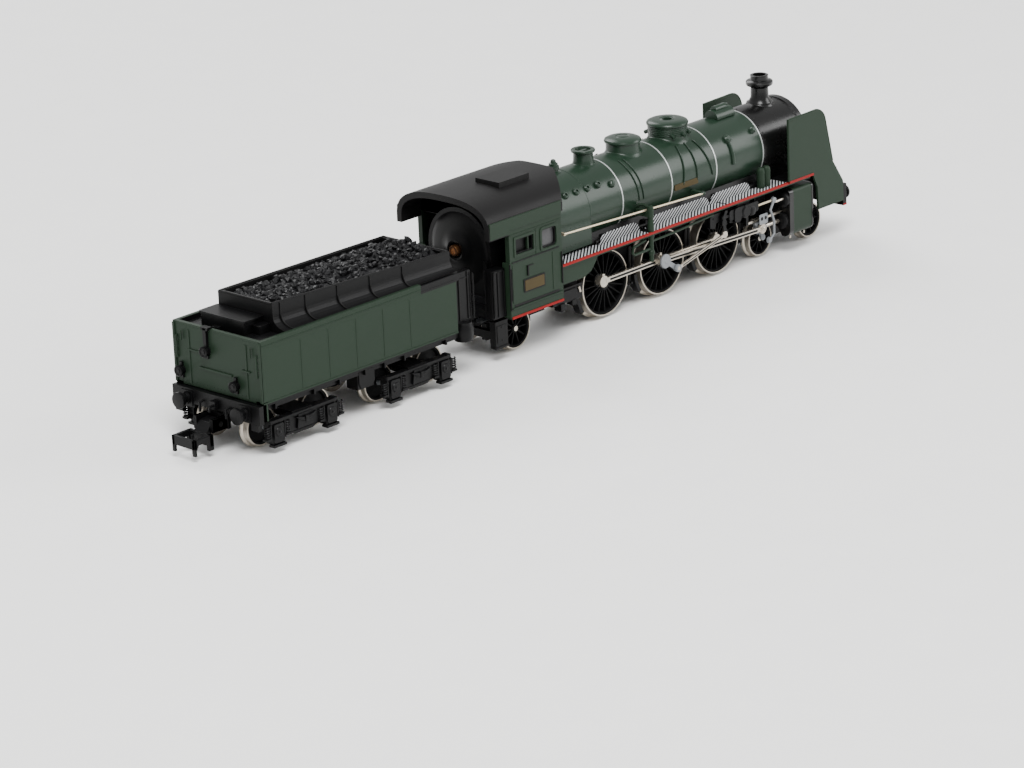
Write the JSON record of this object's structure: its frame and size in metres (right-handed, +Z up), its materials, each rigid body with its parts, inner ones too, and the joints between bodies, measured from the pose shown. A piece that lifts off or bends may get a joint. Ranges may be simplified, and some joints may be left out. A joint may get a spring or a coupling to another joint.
{
  "type": "model steam locomotive with tender",
  "caption": "N-scale steam locomotive with six driven wheels, working rods, swivelling bogies and a coal tender hinged on a drawbar.",
  "frame": {"origin": "on the rail level, below the centre of the whole locomotive and tender", "axes": "+X forwards from tender to chimney, +Y to the left, +Z up"},
  "size_m": [0.138, 0.0184, 0.0272],
  "materials": {
    "loco_green": "satin green paint",
    "satin_black": "satin black moulded plastic",
    "cast_chassis": "blackened die casting",
    "bright_steel": "nickel-plated, bright",
    "brass": "plain brass",
    "gear_plastic": "black acetal",
    "winding_copper": "lacquered copper windings",
    "coal": "rough black moulded coal",
    "carbon_brush": "pressed carbon"
  },
  "bodies": {
    "loco": {"boiler_shell": "loco_green", "brush_left": "carbon_brush", "brush_right": "carbon_brush", "buffer_beam_front": "satin_black", "cab_floor": "satin_black", "cab_roof": "satin_black", "cab_shell": "loco_green", "chassis_frame": "cast_chassis", "chimney": "satin_black", "cylinder_left": "loco_green", "cylinder_right": "loco_green", "deflector_left": "loco_green", "deflector_right": "loco_green", "keeper_plate": "satin_black", "motor_bearing": "brass", "motor_case": "satin_black", "reach_rod": "bright_steel", "running_board_left": "loco_green", "running_board_right": "loco_green", "safety_valve": "loco_green", "sand_dome": "loco_green", "smokebox": "satin_black", "steam_dome": "loco_green", "valve_gear_left": "bright_steel", "valve_gear_right": "bright_steel"},
    "worm_wheel": {"worm_wheel": "gear_plastic"},
    "idler_rear": {"idler_gear_rear": "gear_plastic"},
    "idler_front": {"idler_gear_front": "gear_plastic"},
    "drivers_rear": {"driver_rear": "bright_steel"},
    "drivers_middle": {"driver_middle": "bright_steel", "return_crank_left": "bright_steel", "return_crank_right": "bright_steel"},
    "drivers_front": {"driver_front": "bright_steel"},
    "motor_shaft": {"motor_rotor": "winding_copper", "worm": "brass"},
    "front_bogie": {"front_bogie": "satin_black"},
    "front_bogie_axle_front": {"bogie_wheelset_front": "satin_black"},
    "front_bogie_axle_rear": {"bogie_wheelset_rear": "satin_black"},
    "trailing_truck": {"trailing_truck": "satin_black"},
    "trailing_axle": {"trailing_wheelset": "satin_black"},
    "drawbar": {"drawbar": "satin_black"},
    "tender": {"tender_frame": "satin_black", "tender_body": "loco_green", "coal_bunker": "satin_black", "coal_load": "coal"},
    "tender_bogie_front": {"tender_bogie_front": "satin_black"},
    "tender_bogie_rear": {"tender_bogie_rear": "satin_black"},
    "coupler": {"coupler_hook": "satin_black"},
    "tender_axle_1": {"tender_wheelset_1": "satin_black"},
    "tender_axle_2": {"tender_wheelset_2": "satin_black"},
    "tender_axle_3": {"tender_wheelset_3": "satin_black"},
    "tender_axle_4": {"tender_wheelset_4": "satin_black"},
    "coupling_rod_left": {"coupling_rod_left": "bright_steel"},
    "main_rod_left": {"main_rod_left": "bright_steel"},
    "crosshead_left": {"crosshead_left": "bright_steel"},
    "eccentric_rod_left": {"eccentric_rod_left": "bright_steel"},
    "coupling_rod_right": {"coupling_rod_right": "bright_steel"},
    "main_rod_right": {"main_rod_right": "bright_steel"},
    "crosshead_right": {"crosshead_right": "bright_steel"},
    "eccentric_rod_right": {"eccentric_rod_right": "bright_steel"}
  },
  "joints": [
    {"name": "middle_axle", "type": "hinge", "parent": "loco", "child": "drivers_middle", "pos_m": [0.02495, 0, 0.00555], "axis": [0, 1, 0], "continuous": true},
    {"name": "rear_axle", "type": "hinge", "parent": "loco", "child": "drivers_rear", "pos_m": [0.01195, 0, 0.00555], "axis": [0, 1, 0], "continuous": true},
    {"name": "front_axle", "type": "hinge", "parent": "loco", "child": "drivers_front", "pos_m": [0.03795, 0, 0.00555], "axis": [0, 1, 0], "continuous": true},
    {"name": "rear_idler", "type": "hinge", "parent": "loco", "child": "idler_rear", "pos_m": [0.01845, 0, 0.00441], "axis": [0, 1, 0], "continuous": true},
    {"name": "front_idler", "type": "hinge", "parent": "loco", "child": "idler_front", "pos_m": [0.03145, 0, 0.00441], "axis": [0, 1, 0], "continuous": true},
    {"name": "worm_wheel_shaft", "type": "hinge", "parent": "loco", "child": "worm_wheel", "pos_m": [0.00955, 0, 0.0117], "axis": [0, 1, 0], "continuous": true},
    {"name": "motor_shaft", "type": "hinge", "parent": "loco", "child": "motor_shaft", "pos_m": [0.00955, 0, 0.0162], "axis": [1, 0, 0], "continuous": true},
    {"name": "coupling_pin_left", "type": "hinge", "parent": "drivers_middle", "child": "coupling_rod_left", "pos_m": [0.02575, 0.0066, 0.00705], "axis": [0, 1, 0], "continuous": true},
    {"name": "main_pin_left", "type": "hinge", "parent": "drivers_middle", "child": "main_rod_left", "pos_m": [0.02575, 0.00725, 0.00705], "axis": [0, 1, 0], "continuous": true},
    {"name": "eccentric_pin_left", "type": "hinge", "parent": "drivers_middle", "child": "eccentric_rod_left", "pos_m": [0.02415, 0.00822, 0.0047], "axis": [0, 1, 0], "continuous": true},
    {"name": "crosshead_slide_left", "type": "slide", "parent": "loco", "child": "crosshead_left", "axis": [1, 0, 0], "range_m": [-0.0025, 0.0009]},
    {"name": "coupling_pin_right", "type": "hinge", "parent": "drivers_middle", "child": "coupling_rod_right", "pos_m": [0.02345, -0.0066, 0.00635], "axis": [0, 1, 0], "continuous": true},
    {"name": "main_pin_right", "type": "hinge", "parent": "drivers_middle", "child": "main_rod_right", "pos_m": [0.02345, -0.00725, 0.00635], "axis": [0, 1, 0], "continuous": true},
    {"name": "eccentric_pin_right", "type": "hinge", "parent": "drivers_middle", "child": "eccentric_rod_right", "pos_m": [0.0258, -0.00822, 0.00475], "axis": [0, 1, 0], "continuous": true},
    {"name": "crosshead_slide_right", "type": "slide", "parent": "loco", "child": "crosshead_right", "axis": [1, 0, 0], "range_m": [-0.0002, 0.0032]},
    {"name": "front_bogie_swivel", "type": "hinge", "parent": "loco", "child": "front_bogie", "pos_m": [0.05505, 0, 0.0031], "axis": [0, 0, 1], "range_deg": [-6.5, 6.5]},
    {"name": "front_bogie_rear_axle", "type": "hinge", "parent": "front_bogie", "child": "front_bogie_axle_rear", "pos_m": [0.04895, 0, 0.0031], "axis": [0, 1, 0], "continuous": true},
    {"name": "front_bogie_front_axle", "type": "hinge", "parent": "front_bogie", "child": "front_bogie_axle_front", "pos_m": [0.06115, 0, 0.0031], "axis": [0, 1, 0], "continuous": true},
    {"name": "trailing_truck_swivel", "type": "hinge", "parent": "loco", "child": "trailing_truck", "pos_m": [0.00145, 0, 0.0034], "axis": [0, 0, 1], "range_deg": [-6, 6]},
    {"name": "trailing_axle", "type": "hinge", "parent": "trailing_truck", "child": "trailing_axle", "pos_m": [-0.00725, 0, 0.0034], "axis": [0, 1, 0], "continuous": true},
    {"name": "drawbar_swing", "type": "hinge", "parent": "loco", "child": "drawbar", "pos_m": [-0.01155, 0, 0.00535], "axis": [0, 0, 1], "range_deg": [-9, 9]},
    {"name": "tender_swing", "type": "hinge", "parent": "drawbar", "child": "tender", "pos_m": [-0.02605, 0, 0.00535], "axis": [0, 0, 1], "range_deg": [-16, 16]},
    {"name": "tender_front_bogie_swivel", "type": "hinge", "parent": "tender", "child": "tender_bogie_front", "pos_m": [-0.03095, 0, 0.0031], "axis": [0, 0, 1], "range_deg": [-12.5, 12.5]},
    {"name": "tender_rear_bogie_swivel", "type": "hinge", "parent": "tender", "child": "tender_bogie_rear", "pos_m": [-0.05395, 0, 0.0031], "axis": [0, 0, 1], "range_deg": [-12.5, 12.5]},
    {"name": "tender_axle_1", "type": "hinge", "parent": "tender_bogie_front", "child": "tender_axle_1", "pos_m": [-0.0258, 0, 0.0031], "axis": [0, 1, 0], "continuous": true},
    {"name": "tender_axle_2", "type": "hinge", "parent": "tender_bogie_front", "child": "tender_axle_2", "pos_m": [-0.0361, 0, 0.0031], "axis": [0, 1, 0], "continuous": true},
    {"name": "tender_axle_3", "type": "hinge", "parent": "tender_bogie_rear", "child": "tender_axle_3", "pos_m": [-0.0488, 0, 0.0031], "axis": [0, 1, 0], "continuous": true},
    {"name": "tender_axle_4", "type": "hinge", "parent": "tender_bogie_rear", "child": "tender_axle_4", "pos_m": [-0.0591, 0, 0.0031], "axis": [0, 1, 0], "continuous": true},
    {"name": "coupler_lift", "type": "hinge", "parent": "tender_bogie_rear", "child": "coupler", "pos_m": [-0.06375, 0, 0.0041], "axis": [0, 1, 0], "range_deg": [0, 25]}
  ],
  "couplings": [
    {"joint": "rear_axle", "follows": "middle_axle", "ratio": 1},
    {"joint": "front_axle", "follows": "middle_axle", "ratio": 1},
    {"joint": "rear_idler", "follows": "middle_axle", "ratio": -1.2},
    {"joint": "front_idler", "follows": "middle_axle", "ratio": -1.2},
    {"joint": "worm_wheel_shaft", "follows": "middle_axle", "ratio": -1.2},
    {"joint": "motor_shaft", "follows": "middle_axle", "ratio": 24},
    {"joint": "coupling_pin_left", "follows": "middle_axle", "ratio": -1},
    {"joint": "main_pin_left", "follows": "middle_axle", "ratio": -1},
    {"joint": "eccentric_pin_left", "follows": "middle_axle", "ratio": -1},
    {"joint": "coupling_pin_right", "follows": "middle_axle", "ratio": -1},
    {"joint": "main_pin_right", "follows": "middle_axle", "ratio": -1},
    {"joint": "eccentric_pin_right", "follows": "middle_axle", "ratio": -1}
  ]
}
